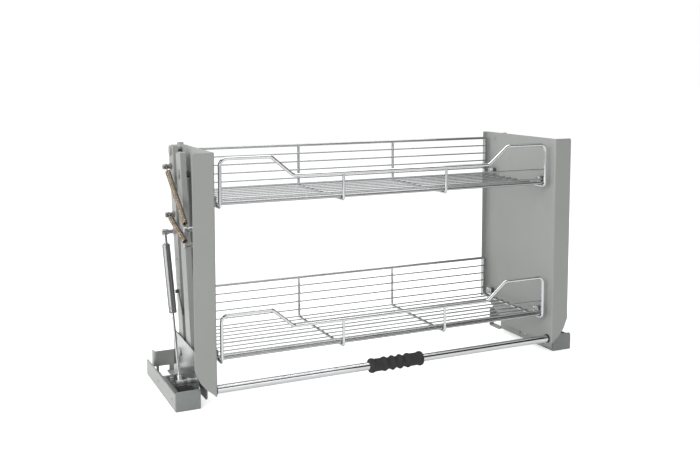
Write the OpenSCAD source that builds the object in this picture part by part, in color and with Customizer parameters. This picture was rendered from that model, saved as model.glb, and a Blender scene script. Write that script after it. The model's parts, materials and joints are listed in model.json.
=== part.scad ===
// Pull-down shelf for a wall cabinet: two wire baskets between steel side panels,
// carried on each side by a pair of parallel arms with springs and a gas strut.
// X runs across the cabinet, Y to the back and Z up. The origin is on the cabinet
// floor in the middle of the unit. Right-hand parts are drawn and left ones mirrored.

/* [Unit] */
// Clear width between the side panels
inside_w = 714; // [560:2:900]
// Depth of the side panels
panel_depth = 246; // [236:1:280]
// Height of the side panels
panel_h = 426.5; // [410:0.5:480]
// Height of the panels' lower edge above the cabinet floor
panel_lift = 24.5; // [20:0.5:30]

/* [Side panels] */
// Thickness of the panel sheet
sheet_t = 1.5; // [1:0.1:2]
// Inner radius of the sheet bends
bend_r = 1.5; // [1:0.1:3]
// Width of the front flange, turned outwards
front_flange_w = 39.4; // [34:0.1:46]
// Width of the rear flange, turned inwards
rear_flange_w = 13; // [8:0.5:18]
// Height over which the front flange tapers to the panel's lower tip
taper_h = 51; // [40:1:80]
// Height of the slope that cuts off the lower rear corner
rear_cut_h = 49.5; // [30:0.5:70]
// Depth of the slope that cuts off the lower rear corner
rear_cut_d = 81; // [50:1:100]
// Radius of the flange's top corner
panel_corner_r = 4; // [2:0.5:8]

/* [Lift arms] */
// Depth of the rear arm's lower pivot behind the front plane
rear_pivot_y = 155; // [145:1:165]
// Height of the rear arm's lower pivot
rear_pivot_z = 64; // [60:0.5:70]
// Depth from the front arm's pivots to the rear arm's pivots
pivot_step_y = 58; // [54:0.5:62]
// Height from the front arm's pivots to the rear arm's pivots
pivot_step_z = 38; // [34:0.5:42]
// Angle by which the arms lean back at rest
arm_lean = 9; // [6:0.5:11]
// Depth of the upper rear pivot below the panels' top edge
top_pivot_drop = 14; // [12:0.5:20]
// Width of an arm's face
arm_w = 32; // [26:0.5:34]
// Depth of an arm's channel, across the unit
arm_d = 10; // [8:0.5:12]
// Wall thickness of an arm
arm_wall = 2; // [1.5:0.1:2.5]
// Height of the front arm's head above its pivot
front_arm_head = 41; // [20:1:50]
// Height of the rear arm's head above its pivot
rear_arm_head = 12; // [11:0.5:13.5]
// Distance of the adjusting holes from the rear arm's lower pivot
adjust_hole_places = [127, 174];
// Diameter of the adjusting holes
adjust_hole_d = 4; // [3:0.1:6]

/* [Pivots] */
// Diameter of the pivot pins
pin_d = 10; // [8:0.5:12]
// Radial clearance of a pin in its bush
running_gap = 0.05; // [0.02:0.01:0.08]
// Wall of the bushes
bush_wall = 2; // [1.5:0.1:2.5]
// Wall of the sleeves that hold the bushes in the arms
boss_wall = 2; // [1.5:0.1:3]
// Gap beside the arms, filled by the bushes' flanges
arm_gap = 2; // [1.5:0.1:3]
// Thickness of the pin heads
pin_head_t = 2.5; // [2:0.1:3]
// Distance that the pin heads stand out past their holes
pin_head_rim = 2.5; // [1.5:0.1:4]

/* [Base brackets] */
// Width of a bracket
bracket_w = 45; // [40:0.5:60]
// Height of a bracket's walls
bracket_h = 35.6; // [30:0.1:38]
// Setback of a bracket's front face behind the front plane
bracket_setback = 23; // [18:0.5:30]
// Thickness of the bracket sheet
bracket_t = 2.5; // [2:0.1:3]
// Thickness of the pivot plates
plate_t = 2; // [1.5:0.1:3]
// Gap between a side panel and the inner pivot plate
panel_gap = 5.8; // [5.2:0.1:8]
// Height of the pivot plates' top edge above the rear arm's pivot
plate_rise = 33; // [28:0.5:38]
// Thickness of the bracket's moulded front cap
cap_t = 3; // [2:0.1:4]
// Corner radius of the front cap
cap_r = 5; // [3:0.5:8]
// Height of the tall rear wall
rear_wall_h = 43; // [38:0.5:48]
// Depth of the lip behind the rear wall
rear_lip_d = 14; // [8:0.5:20]
// Width by which the rear wall reaches inwards past the tray
rear_reach = 10; // [6:0.5:12]
// Diameter of the fixing holes
fixing_d = 5; // [4:0.1:6]
// Width of the pivot plate's foot
foot_w = 16; // [12:0.5:20]
// Distance from the rear arm's pivot to the spacer bolt, to the back
spacer_step_y = 29; // [28:0.5:34]
// Distance from the rear arm's pivot to the spacer bolt, upwards
spacer_step_z = 19.5; // [15:0.5:22]

/* [Springs] */
// Diameter of the spring wire
spring_wire_d = 2; // [1.6:0.1:2.2]
// Outer diameter of the springs
spring_od = 10.4; // [9:0.1:12]
// Number of turns of a spring
spring_turns = 21; // [12:1:21]
// Length of a spring's end eye with its shank
spring_end = 14; // [12:0.5:18]
// Diameter of the spring posts
post_d = 9; // [8:0.5:10]
// Depth of the groove that holds a spring's eye
groove_depth = 0.9; // [0.5:0.1:1.4]
// Distance of the upper spring's post below the rear arm's upper pivot
upper_post_drop = 29; // [24:1:40]
// Distance of the lower spring's post below the rear arm's upper pivot
lower_post_drop = 120; // [112:1:130]
// Setback of the panel's spring posts behind the front plane
panel_post_y = 65; // [55:1:70]
// Distance of the panel's upper spring post below the panel's top edge
panel_post_upper_drop = 139.5; // [130:0.5:145]
// Distance of the panel's lower spring post below the panel's top edge
panel_post_lower_drop = 168; // [160:0.5:175]

/* [Gas struts] */
// Diameter of the strut's cylinder
strut_d = 14.6; // [13:0.1:16]
// Length of the strut's cylinder
strut_len = 130; // [124:1:136]
// Diameter of the strut's rod
strut_rod_d = 5; // [4.5:0.1:6]
// Wall of the strut's cylinder
strut_wall = 1.4; // [1:0.1:2]
// Distance from the upper ball to the cylinder
strut_neck = 22; // [18:0.5:26]
// Distance of the upper ball along the rear arm from its lower pivot
strut_reach = 226; // [215:1:235]
// Gap beside the strut, between its axis plane and the arms' faces
strut_offset = 20.2; // [19:0.1:24]
// Diameter of the strut's end fittings
strut_eye_d = 14; // [12:0.5:16]

/* [Baskets] */
// Gap between a basket's end and the side panel
basket_gap = 10; // [8:0.5:14]
// Distance of the upper basket's underside below the panels' top edge
upper_basket_drop = 100; // [97:1:112]
// Height of the lower basket's underside
lower_basket_z = 76.5; // [72:0.5:90]
// Setback of a basket's front behind the front plane
basket_front_y = 15; // [12:0.5:20]
// Distance of a basket's back rail from the panels' rear edge
basket_back_gap = 10; // [8:0.5:14]
// Diameter of the front hoop's wire
hoop_d = 6.5; // [5:0.1:8]
// Diameter of the ribs and rails
rib_d = 5.5; // [4:0.1:6]
// Diameter of the thin wires
wire_d = 2.8; // [2:0.1:3.5]
// Height of the hoop's raised ends
hoop_high = 91; // [80:0.5:95]
// Height of the hoop's low middle
hoop_low = 56; // [45:0.5:65]
// Height of the back rail
back_h = 89; // [80:0.5:92]
// Half width of the hoop's low middle
hoop_low_half = 208; // [150:1:230]
// Half width at which the hoop's raised ends begin
hoop_high_half = 250; // [240:1:270]
// Half distance between the middle ribs
rib_half = 109; // [80:1:130]
// Bend radius of the hoop's top corners
hoop_r = 13; // [8:0.5:18]
// Number of thin wires in a basket's floor
floor_wires = 9; // [5:1:10]
// Number of thin wires in a basket's back
back_wires = 4; // [2:1:5]
// Diameter of the basket screws
screw_d = 5; // [4:0.1:6]

/* [Handle] */
// Diameter of the handle tube
handle_d = 15; // [13:0.5:16]
// Wall of the handle tube
handle_wall = 1.2; // [1:0.1:2]
// Setback of the handle's axis behind the front plane
handle_y = 14; // [13.5:0.5:18]
// Height of the handle's axis above the panels' lower edge
handle_rise = 9; // [9:0.5:12]
// Length of the grip
grip_len = 123; // [90:1:150]
// Core diameter of the grip
grip_core_d = 21.5; // [18:0.5:24]
// Diameter of the grip's rings
grip_ring_d = 25; // [22:0.5:26]
// Diameter of the grip's flared ends
grip_end_d = 27; // [24:0.5:27]
// Number of the grip's rings
grip_rings = 4; // [2:1:5]
// Distance from ring to ring of the grip
grip_ring_pitch = 16.4; // [12:0.2:17]
// Length of the grip's flared ends
grip_flare_len = 13; // [8:0.5:16]

/* [Hidden] */
$fn = 48;
// Overrun of every cut past the face that it opens
over = 1;
// Gap that keeps separate round wires from sharing space
touch_gap = 0.05;
// Swell of a wire's bends, so that they take in the straight ends
bend_swell = 0.02;
// Length of a straight end inside its bend
bend_lap = 0.2;
// Gap between a moving piece and a flat face beside it
side_gap = 0.3;

// Across the unit, from the panel outwards
web_in = inside_w / 2;
web_out = web_in + sheet_t;
inner_plate_x = web_out + panel_gap;
arm_in = inner_plate_x + plate_t + arm_gap;
arm_out = arm_in + arm_d;
pivot_plate_x = arm_out + arm_gap;
bracket_x = pivot_plate_x;
bracket_out = bracket_x + bracket_w;
unit_depth = panel_depth + rear_lip_d;

// Heights and pivots
panel_top = panel_lift + panel_h;
top_pivot_z = panel_top - top_pivot_drop;
arm_len = (top_pivot_z - rear_pivot_z) / cos(arm_lean);
top_pivot_y = rear_pivot_y + arm_len * sin(arm_lean);
front_pivot_y = rear_pivot_y - pivot_step_y;
front_pivot_z = rear_pivot_z - pivot_step_z;
pin_r = pin_d / 2;
bush_bore_r = pin_r + running_gap;
bush_r = bush_bore_r + bush_wall;
boss_r = bush_r + boss_wall;
arm_corner_r = arm_w / 8;
pivot_hole_r = pin_r + touch_gap;

// Spring posts: the eye sits in the groove in this plane
post_r = post_d / 2;
spring_x = arm_out + spring_od + touch_gap;
groove_w = spring_wire_d * 1.8;
post_end_x = spring_x + groove_w / 2 + post_r;
spring_wire_r = spring_wire_d / 2;
coil_r = (spring_od - spring_wire_d) / 2;
eye_r = post_r - groove_depth + spring_wire_r + side_gap;
upper_panel_post_z = panel_top - panel_post_upper_drop;
lower_panel_post_z = panel_top - panel_post_lower_drop;

// Points on the rear arm, as [y, z], from its lower pivot upwards
function on_rear_arm(s) = [rear_pivot_y + s * sin(arm_lean), rear_pivot_z + s * cos(arm_lean)];
upper_arm_post = on_rear_arm(arm_len - upper_post_drop);
lower_arm_post = on_rear_arm(arm_len - lower_post_drop);
strut_top = on_rear_arm(strut_reach);
strut_foot = [front_pivot_y, front_pivot_z];
strut_x = arm_out + strut_offset;
strut_r = strut_d / 2;
strut_rod_r = strut_rod_d / 2;
strut_eye_r = strut_eye_d / 2;
strut_span = norm(strut_top - strut_foot);
strut_post_r = strut_eye_r * 0.55;

// Baskets
upper_basket_z = panel_top - upper_basket_drop;
basket_half = web_in - basket_gap;
basket_back_y = panel_depth - basket_back_gap;
hoop_wire_r = hoop_d / 2;
rib_r = rib_d / 2;
wire_r = wire_d / 2;
rib_bend_r = rib_d + rib_r / 5;
hoop_x = basket_half - hoop_wire_r;
end_rib_x = hoop_x;
end_bend_h = rib_d + rib_bend_r;
lug_t = rib_d * 0.36;
lug_w = rib_d * 3;
lug_h = rib_d * 3.8;
screw_r = screw_d / 2;
screw_rise = rib_d * 2.75;
screw_head_r = screw_r * 1.9;
screw_head_t = screw_r;
spacer_r = screw_r * 2.3;
basket_screw_places = [basket_front_y + lug_w * 1.5, basket_back_y - lug_w * 1.35];

// Handle
handle_r = handle_d / 2;
handle_z = panel_lift + handle_rise;
collar_t = handle_wall * 2;
collar_r = handle_r * 1.18;

// Spacer bolt behind the rear arm, and the buffer on it that the arm rests on
spacer_y = rear_pivot_y + spacer_step_y;
spacer_z = rear_pivot_z + spacer_step_z;
spacer_r_bolt = pin_r * 0.8;
buffer_r = spacer_step_y * cos(arm_lean) - spacer_step_z * sin(arm_lean) - arm_w / 2 - side_gap;

// Colours
grey_coat = [0.60, 0.61, 0.60];
plated = [0.74, 0.76, 0.76];
steel = [0.55, 0.56, 0.56];
dark_steel = [0.22, 0.23, 0.23];
chrome = [0.82, 0.83, 0.84];
rubber = [0.08, 0.08, 0.09];
nylon = [0.16, 0.16, 0.16];
grey_nylon = [0.55, 0.55, 0.54];
spring_steel = [0.55, 0.50, 0.42];

// Puts a piece on the right side, or mirrors it to the left, with the depth centred
module on_side(s) {
    translate([0, -unit_depth / 2, 0])
        mirror([s > 0 ? 0 : 1, 0, 0])
            children();
}

module on_both_sides() {
    on_side(1) children();
    on_side(-1) children();
}

// A round bar along X, Y or Z
module bar_x(x0, x1, at, r) {
    translate([x0, at[0], at[1]]) rotate([0, 90, 0]) cylinder(h = x1 - x0, r = r);
}

module bar_y(y0, y1, at, r) {
    translate([at[0], y0, at[1]]) rotate([-90, 0, 0]) cylinder(h = y1 - y0, r = r);
}

module bar_z(z0, z1, at, r) {
    translate([at[0], at[1], z0]) cylinder(h = z1 - z0, r = r);
}

// A ring along X
module tube_x(x0, x1, at, r, bore_r) {
    difference() {
        bar_x(x0, x1, at, r);
        bar_x(x0 - over, x1 + over, at, bore_r);
    }
}

// A flat plate drawn in Y and Z, standing across X
module plate_yz(x0, t) {
    translate([x0, 0, 0]) rotate([90, 0, 90]) linear_extrude(t) children();
}

// A flat plate drawn in X and Z, standing across Y
module plate_xz(y0, t) {
    translate([0, y0 + t, 0]) rotate([90, 0, 0]) linear_extrude(t) children();
}

// A rectangle with round corners, from its lower left corner
module round_rect(w, h, r) {
    translate([r, 0]) square([w - 2 * r, h]);
    translate([0, r]) square([w, h - 2 * r]);
    for (x = [r, w - r], y = [r, h - r]) translate([x, y]) circle(r);
}

// What a round corner takes off a square one: the corner is at the origin, the
// sheet lies towards -X and -Y
module corner_waste(r) {
    translate([-r, -r]) difference() {
        square(r + over);
        circle(r);
    }
}

// A bent wire in the XY plane through the given points, with round bends
function unit(v) = v / norm(v);
function turn_of(a, b) = atan2(a[0] * b[1] - a[1] * b[0], a * b);

module flat_wire(points, bends, r) {
    last = len(points) - 1;
    cut = [for (i = [0 : last]) i == 0 || i == last ? 0
        : bends[i - 1] * tan(abs(turn_of(points[i] - points[i - 1], points[i + 1] - points[i])) / 2)];
    lap = [for (i = [0 : last]) i == 0 || i == last ? 0 : bend_lap];
    for (i = [0 : last - 1]) {
        along = unit(points[i + 1] - points[i]);
        start = points[i] + along * (cut[i] - lap[i]);
        run = norm(points[i + 1] - points[i]) - cut[i] - cut[i + 1] + lap[i] + lap[i + 1];
        translate([start[0], start[1], 0]) rotate([90, 0, atan2(along[1], along[0]) + 90])
            cylinder(h = run, r = r);
    }
    for (i = [1 : last - 1]) {
        along = unit(points[i] - points[i - 1]);
        leaving = unit(points[i + 1] - points[i]);
        turn = turn_of(along, leaving);
        side = turn > 0 ? 1 : -1;
        normal = side * [-along[1], along[0]];
        centre = points[i] - along * cut[i] + normal * bends[i - 1];
        from = side > 0 ? -normal : [-leaving[1], leaving[0]];
        translate([centre[0], centre[1], 0]) rotate([0, 0, atan2(from[1], from[0])])
            rotate_extrude(angle = abs(turn)) translate([bends[i - 1], 0]) circle(r + bend_swell);
    }
}

// Side panel: a web with a front flange turned outwards and a rear one inwards
flange_taper_shares = [[1, 1], [0.77, 0.58], [0.5, 0.32], [0, 0]];

module panel_plan() {
    r = bend_r + sheet_t;
    translate([web_in, r]) square([sheet_t, panel_depth - 2 * r]);
    translate([web_in + r, 0]) square([front_flange_w - r, sheet_t]);
    translate([web_out - rear_flange_w, panel_depth - sheet_t]) square([rear_flange_w - r, sheet_t]);
    translate([web_in + r, r]) intersection() {
        difference() {
            circle(r);
            circle(bend_r);
        }
        translate([-r, -r]) square(r);
    }
    translate([web_out - r, panel_depth - r]) intersection() {
        difference() {
            circle(r);
            circle(bend_r);
        }
        square(r);
    }
}

module side_panel(s) {
    r = bend_r + sheet_t;
    color(grey_coat) on_side(s) difference() {
        translate([0, 0, panel_lift]) linear_extrude(panel_h) panel_plan();
        // taper of the front flange down to the tip
        translate([0, -over, 0]) plate_xz(0, over + r) polygon(concat(
            [for (share = flange_taper_shares)
                [web_in + share[0] * front_flange_w, panel_lift + share[1] * taper_h]],
            [[web_in, panel_lift - over], [web_in + front_flange_w + over, panel_lift - over],
                [web_in + front_flange_w + over, panel_lift + taper_h]]));
        plate_xz(-over, sheet_t + 2 * over)
            translate([web_in + front_flange_w, panel_top]) corner_waste(panel_corner_r);
        // slope at the lower rear corner
        plate_yz(web_in - rear_flange_w - over, rear_flange_w + sheet_t + 2 * over) polygon([
            [panel_depth - rear_cut_d, panel_lift], [panel_depth + over, panel_lift + rear_cut_h
                * (rear_cut_d + over) / rear_cut_d], [panel_depth + over, panel_lift - over],
            [panel_depth - rear_cut_d, panel_lift - over]]);
        bar_x(web_in - over, web_out + over, [handle_y, handle_z], handle_r + touch_gap);
        for (at = top_pivots) bar_x(web_in - over, web_out + over, at, pivot_hole_r);
        for (z = [upper_panel_post_z, lower_panel_post_z])
            bar_x(web_in - over, web_out + over, [panel_post_y, z], post_r / 2 + touch_gap);
        for (z = [upper_basket_z, lower_basket_z], y = basket_screw_places)
            bar_x(web_in - over, web_out + over, [y, z + screw_rise], screw_r + touch_gap);
    }
}

// Arm: a channel open towards the panel, with a sleeve for the bush at each pivot
module arm(lower, head, posts, holes) {
    half = arm_w / 2;
    translate([0, lower[0], lower[1]]) rotate([-arm_lean, 0, 0]) difference() {
        union() {
            difference() {
                plate_yz(arm_in, arm_d) arm_outline(head);
                plate_yz(arm_in - over, arm_d - arm_wall + over) {
                    circle(half - arm_wall);
                    translate([-half + arm_wall, 0])
                        square([arm_w - 2 * arm_wall, arm_len + head + over]);
                }
            }
            for (z = [0, arm_len]) bar_x(arm_in, arm_out, [0, z], boss_r);
        }
        for (z = [0, arm_len]) bar_x(arm_in - over, arm_out + over, [0, z], bush_r + touch_gap);
        for (z = posts) bar_x(arm_in - over, arm_out + over, [0, z], post_r / 2 + touch_gap);
        for (z = holes) bar_x(arm_out - arm_wall - over, arm_out + over, [0, z], adjust_hole_d / 2);
    }
}

module arm_outline(head) {
    half = arm_w / 2;
    circle(half);
    difference() {
        translate([-half, 0]) square([arm_w, arm_len + head]);
        for (s = [-1, 1]) translate([s * half, arm_len + head]) scale([s, 1]) corner_waste(arm_corner_r);
    }
}

module front_arm(s) {
    color(grey_coat) on_side(s) arm([front_pivot_y, front_pivot_z], front_arm_head, [], []);
}

module rear_arm(s) {
    color(grey_coat) on_side(s) arm([rear_pivot_y, rear_pivot_z], rear_arm_head,
        [arm_len - upper_post_drop, arm_len - lower_post_drop, strut_reach], adjust_hole_places);
}

// Bushes: two flanged halves in each sleeve
module bush_pair(at) {
    flange_r = bush_r + boss_wall;
    middle = (arm_in + arm_out) / 2;
    difference() {
        union() {
            bar_x(arm_in - arm_gap + side_gap, arm_in, at, flange_r);
            bar_x(arm_in, middle - touch_gap, at, bush_r);
        }
        bar_x(arm_in - arm_gap, middle, at, bush_bore_r);
    }
    difference() {
        union() {
            bar_x(arm_out, arm_out + arm_gap - side_gap, at, flange_r);
            bar_x(middle + touch_gap, arm_out, at, bush_r);
        }
        bar_x(middle, arm_out + arm_gap, at, bush_bore_r);
    }
}

module arm_bushes(s, lower) {
    color(grey_nylon) on_side(s) {
        bush_pair(lower);
        bush_pair(lower + arm_len * [sin(arm_lean), cos(arm_lean)]);
    }
}

// A post with a groove for a spring's eye, from a shoulder to its head
module grooved_post(x0, at, shoulder_r, shoulder_t) {
    groove_r = post_r - groove_depth;
    bar_x(x0, x0 + shoulder_t, at, shoulder_r);
    bar_x(x0 + shoulder_t, spring_x - groove_w / 2, at, post_r);
    bar_x(spring_x - groove_w / 2, spring_x + groove_w / 2, at, groove_r);
    bar_x(spring_x + groove_w / 2, post_end_x, at, post_r * 1.1);
}

module arm_spring_posts(s) {
    color(steel) on_side(s) for (at = [upper_arm_post, lower_arm_post]) {
        grooved_post(arm_out, at, post_r * 1.3, post_r);
        bar_x(arm_out - arm_wall, arm_out, at, post_r / 2);
    }
}

module panel_spring_posts() {
    color(steel) on_both_sides() for (z = [upper_panel_post_z, lower_panel_post_z]) {
        grooved_post(web_out, [panel_post_y, z], post_r * 1.5, post_r);
        bar_x(web_in, web_out, [panel_post_y, z], post_r / 2);
    }
}

module arm_strut_post(s) {
    color(steel) on_side(s) {
        bar_x(arm_out - arm_wall, arm_out, strut_top, post_r / 2);
        bar_x(arm_out, arm_out + post_r, strut_top, strut_post_r * 1.5);
        bar_x(arm_out + post_r, strut_x - strut_eye_r - side_gap, strut_top, strut_post_r);
    }
}

// Stop lever: a dark strap across the rear arm's face, with a bolt and a rivet
stop_lever_places = [113.5, 74];
stop_lever_shares = [0, -0.68];

module stop_lever(s) {
    strap_t = arm_gap * 0.6;
    bolt_r = pin_r * 0.7;
    ends = [for (i = [0, 1]) [stop_lever_shares[i] * arm_w, stop_lever_places[i]]];
    tilt = atan2(ends[0][1] - ends[1][1], ends[0][0] - ends[1][0]);
    color(dark_steel) on_side(s) translate([0, rear_pivot_y, rear_pivot_z]) rotate([-arm_lean, 0, 0]) {
        plate_yz(arm_out, strap_t) {
            for (e = ends) translate(e) circle(bolt_r);
            translate(ends[1]) rotate(tilt) translate([0, -bolt_r * 0.8])
                square([norm(ends[0] - ends[1]), bolt_r * 1.6]);
        }
        bar_x(arm_out + strap_t, arm_out + strap_t + pin_r, ends[0], bolt_r);
        bar_x(arm_out + strap_t, arm_out + arm_gap - side_gap, ends[1], bolt_r * 0.7);
    }
}

// Base bracket: a tray with an outer wall, a front wall and a tall bridge at the back
module base_bracket(s) {
    front = bracket_setback + cap_t;
    back = panel_depth;
    leg = bracket_t * 2;
    leg_in = bracket_x - rear_reach;
    window_in = bracket_x + bracket_t * 0.4;
    cut_front = panel_depth * 0.87;
    bridge_out = bracket_out - bracket_w * 0.3;
    bridge_low = rear_wall_h * 0.3;
    bend = bracket_t * 2;
    color(grey_coat) on_side(s) difference() {
        union() {
            translate([bracket_x, front, 0]) cube([bracket_w, back - front, bracket_t]);
            translate([bracket_x, front, 0]) cube([bracket_w, bracket_t, bracket_h - cap_r]);
            translate([leg_in, cut_front - leg, 0])
                cube([rear_reach + leg, back - cut_front + leg, bracket_t]);
            plate_yz(bracket_out - bracket_t, bracket_t) difference() {
                translate([front, 0]) square([back - front, bracket_h - cap_r]);
                translate([back, bracket_h - cap_r]) corner_waste(cap_r);
            }
            plate_xz(back - bracket_t, bracket_t) difference() {
                translate([leg_in, 0]) square([bridge_out - bend - leg_in, rear_wall_h]);
                translate([window_in, bracket_t])
                    square([bridge_out - bend - leg - window_in, bridge_low - bracket_t]);
            }
            // bend and lip behind the bridge
            translate([bridge_out - bend, back + bend - bracket_t, bridge_low]) intersection() {
                difference() {
                    cylinder(h = rear_wall_h - bridge_low, r = bend);
                    translate([0, 0, -over]) cylinder(h = rear_wall_h - bridge_low + 2 * over,
                        r = bend - bracket_t);
                }
                translate([0, -bend, 0]) cube([bend, bend, rear_wall_h - bridge_low]);
            }
            translate([bridge_out - bracket_t, back + bend - bracket_t, bridge_low])
                cube([bracket_t, rear_lip_d - bend + bracket_t, rear_wall_h - bridge_low]);
        }
        translate([bracket_x + leg, cut_front, -over])
            cube([bridge_out - bend - leg - bracket_x - leg, back - cut_front + over,
                bracket_t + 2 * over]);
        translate([0, 0, -over]) {
            for (at = floor_fixings) translate(at) cylinder(h = bracket_t + 2 * over, r = fixing_d / 2);
            for (y = plate_screw_places)
                translate([plate_screw_x, y]) cylinder(h = bracket_t + 2 * over, r = screw_r + touch_gap);
        }
        for (at = wall_fixings)
            bar_x(bracket_out - bracket_t - over, bracket_out + over, at, fixing_d / 2);
    }
}

floor_fixings = [for (share = [0.26, 0.8]) [bracket_out - bracket_w * 0.44, panel_depth * share]];
wall_fixings = [for (share = [0.2, 0.62]) [panel_depth * share, bracket_h * 0.45]];
plate_screw_x = pivot_plate_x + plate_t + foot_w * 0.55;
plate_screw_places = [rear_pivot_y, rear_pivot_y + pivot_step_y * 0.6];

module bracket_caps() {
    color(grey_coat) on_both_sides()
        plate_xz(bracket_setback, cap_t) translate([bracket_x, 0]) {
            round_rect(bracket_w, bracket_h, cap_r);
            round_rect(bracket_w, bracket_h / 2, cap_r / 4);
        }
}

// Front outline of the outer pivot plate, as shares of its run and of its height
plate_front_shares = [[0.186, 0.958], [0.13, 0.63], [0.043, 0.481], [0, 0.35], [0, 0]];

module pivot_plate(s) {
    back = rear_pivot_y + pivot_step_y * 0.83;
    top = rear_pivot_z + plate_rise;
    front = bracket_setback + cap_t + bracket_t;
    foot_front = front_pivot_y - pin_d * 2.4;
    color(plated) on_side(s) difference() {
        union() {
            plate_yz(pivot_plate_x, plate_t) difference() {
                polygon(concat([[back, bracket_t], [back, top]],
                    [for (share = plate_front_shares) [front + share[0] * (rear_pivot_y - front),
                        bracket_t + share[1] * (top - bracket_t)]]));
                translate([back, top]) corner_waste(pin_r);
            }
            translate([pivot_plate_x, foot_front, bracket_t])
                cube([plate_t + foot_w, back - foot_front, plate_t]);
        }
        plate_bores(pivot_plate_x);
        for (y = plate_screw_places) translate([plate_screw_x, y, 0])
            cylinder(h = bracket_t + plate_t + over, r = screw_r + touch_gap);
    }
}

module plate_bores(x) {
    for (at = [[rear_pivot_y, rear_pivot_z], [front_pivot_y, front_pivot_z]])
        bar_x(x - over, x + plate_t + over, at, pivot_hole_r);
    bar_x(x - over, x + plate_t + over, [spacer_y, spacer_z], spacer_r_bolt * 0.7 + touch_gap);
}

module inner_plate(s) {
    low = front_pivot_z - arm_w / 2 - bracket_t;
    front = front_pivot_y - pivot_step_y * 1.05;
    back = spacer_y + pin_d * 0.8;
    corner = pin_d * 0.8;
    slit_y = front_pivot_y + pivot_step_y * 0.36;
    slit_h = pin_d * 1.8;
    color(grey_coat) on_side(s) difference() {
        plate_yz(inner_plate_x, plate_t) difference() {
            translate([front, low])
                round_rect(back - front, rear_pivot_z + plate_rise - low, corner);
            translate([slit_y, low - over]) square([plate_t, slit_h + over]);
        }
        plate_bores(inner_plate_x);
    }
}

// Pins: riveted in both plates, with the arm's bushes running on them
module base_pins(s) {
    head_r = pin_r + pin_head_rim;
    neck_r = spacer_r_bolt * 0.7;
    color(steel) on_side(s) {
        for (at = [[rear_pivot_y, rear_pivot_z], [front_pivot_y, front_pivot_z]]) {
            bar_x(inner_plate_x - pin_head_t, inner_plate_x, at, head_r);
            bar_x(inner_plate_x, pivot_plate_x + plate_t, at, pin_r);
            bar_x(pivot_plate_x + plate_t, pivot_plate_x + plate_t + pin_head_t, at, head_r);
        }
        translate([0, spacer_y, spacer_z]) {
            bar_x(inner_plate_x - pin_head_t / 2, inner_plate_x, [0, 0], spacer_r_bolt);
            bar_x(inner_plate_x, pivot_plate_x + plate_t, [0, 0], neck_r);
            bar_x(inner_plate_x + plate_t, pivot_plate_x, [0, 0], spacer_r_bolt);
            bar_x(pivot_plate_x + plate_t, pivot_plate_x + plate_t + pin_head_t / 2, [0, 0], spacer_r_bolt);
        }
    }
}

module rest_stops() {
    color(rubber) on_both_sides()
        tube_x(inner_plate_x + plate_t + side_gap, pivot_plate_x - side_gap, [spacer_y, spacer_z],
            buffer_r, spacer_r_bolt + touch_gap);
}

top_pivots = [[top_pivot_y, top_pivot_z], [top_pivot_y - pivot_step_y, top_pivot_z - pivot_step_z]];

// Upper pins: welded in the panel, with a low head outside the arm
module top_pins() {
    head_r = pin_r + pin_head_rim / 2;
    head_x = arm_out + arm_gap;
    color(steel) on_both_sides() for (at = top_pivots) {
        bar_x(web_in, head_x, at, pin_r);
        bar_x(head_x, head_x + pin_head_t * 0.4, at, head_r);
    }
}

module top_collars() {
    color(dark_steel) on_both_sides() for (at = top_pivots)
        tube_x(web_out, arm_in - arm_gap, at, pin_r * 1.3, pin_r + touch_gap);
}

module plate_screws() {
    base = bracket_t + plate_t;
    color(steel) on_both_sides() for (y = plate_screw_places) {
        bar_z(bracket_t / 4, base, [plate_screw_x, y], screw_r);
        bar_z(base, base + screw_head_t, [plate_screw_x, y], screw_head_r);
    }
}

// Strut foot post, on the head of the front pin: the rod's eye turns on it
module strut_foot_posts() {
    eye_half = strut_eye_r * 0.8;
    pin_face = pivot_plate_x + plate_t + pin_head_t;
    color(steel) on_both_sides() {
        bar_x(pin_face, strut_x - eye_half - side_gap, strut_foot, strut_post_r * 1.5);
        bar_x(strut_x - eye_half - side_gap, strut_x + eye_half + side_gap, strut_foot, strut_post_r);
        bar_x(strut_x + eye_half + side_gap, strut_x + eye_half + post_r / 2, strut_foot,
            strut_post_r * 1.5);
    }
}

// Strut pieces are drawn along +Z from the foot's axis and tilted towards the ball
module along_strut(s) {
    v = strut_top - strut_foot;
    on_side(s) translate([strut_x, strut_foot[0], strut_foot[1]])
        rotate([-atan2(v[0], v[1]), 0, 0]) children();
}

module strut_foot_eye(s) {
    half = strut_eye_r * 0.8;
    color(steel) along_strut(s) difference() {
        union() {
            bar_x(-half, half, [0, 0], strut_eye_r * 0.8);
            bar_z(0, strut_eye_r * 2, [0, 0], strut_rod_r * 1.6);
        }
        bar_x(-half - over, half + over, [0, 0], strut_post_r + running_gap);
        bar_z(strut_eye_r * 1.3, strut_eye_r * 2 + over, [0, 0], strut_rod_r * 0.8);
    }
}

// Rod with its piston inside the cylinder
module strut_rod(s) {
    bore_r = strut_r - strut_wall;
    rod_end = strut_span - strut_neck - strut_len + strut_rod_d * 1.3;
    color(chrome) along_strut(s) {
        bar_z(strut_eye_r * 1.3, strut_eye_r * 2, [0, 0], strut_rod_r * 0.8 - touch_gap);
        bar_z(strut_eye_r * 2, rod_end, [0, 0], strut_rod_r);
        bar_z(rod_end, rod_end + strut_rod_d, [0, 0], bore_r - running_gap);
    }
}

module strut_cylinder(s) {
    low = strut_span - strut_neck - strut_len;
    high = strut_span - strut_neck;
    color(steel) along_strut(s) difference() {
        bar_z(low, high, [0, 0], strut_r);
        bar_z(low + strut_rod_d, high - strut_rod_d, [0, 0], strut_r - strut_wall);
        bar_z(low - over, low + strut_rod_d + over, [0, 0], strut_rod_r + running_gap);
    }
}

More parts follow.
